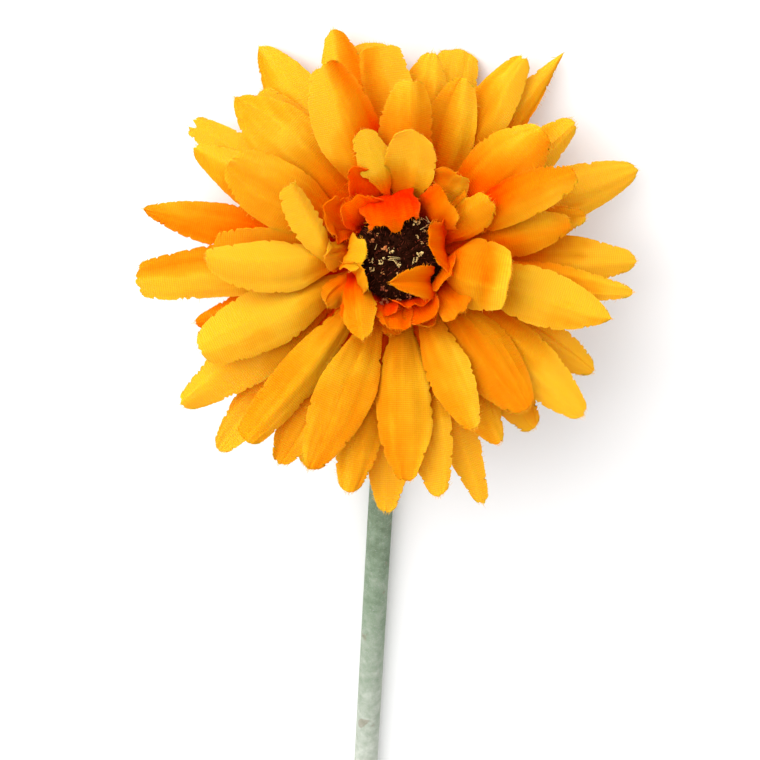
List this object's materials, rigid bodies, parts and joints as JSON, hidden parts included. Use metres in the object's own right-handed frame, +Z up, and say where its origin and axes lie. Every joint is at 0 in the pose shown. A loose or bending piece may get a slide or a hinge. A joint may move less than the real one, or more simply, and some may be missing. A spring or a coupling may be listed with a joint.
{
  "type": "artificial gerbera daisy",
  "caption": "Lying artificial gerbera: layered cloth petals and a crinkled frill round a dark flocked heart, on a moulded calyx and a bent, wired plastic stem.",
  "frame": {"origin": "middle of the flower's bounding box, on the surface that the flower lies on", "axes": "+Y from the stem's cut end to the bloom, +Z up, +X to the right when seen from the cut end"},
  "size_m": [0.1098, 0.309, 0.0605],
  "materials": {
    "golden_cloth": "woven, stiffened, golden yellow at the tips and orange at the roots",
    "orange_cloth": "woven, crinkled, with pinked ends",
    "dark_flock": "fluffy flock, nearly black, with pale specks",
    "green_plastic": "moulded, matt",
    "coated_plastic": "powdery, mottled grey-green coat",
    "steel_wire": "plain drawn wire"
  },
  "bodies": {
    "root": {"petal_layer_1": "golden_cloth", "petal_layer_2": "golden_cloth", "petal_layer_3": "golden_cloth", "petal_layer_4": "golden_cloth", "frill_outer": "orange_cloth", "frill_inner": "orange_cloth", "heart": "dark_flock", "calyx": "green_plastic", "stem": "coated_plastic", "stem_wire": "steel_wire"}
  },
  "joints": []
}
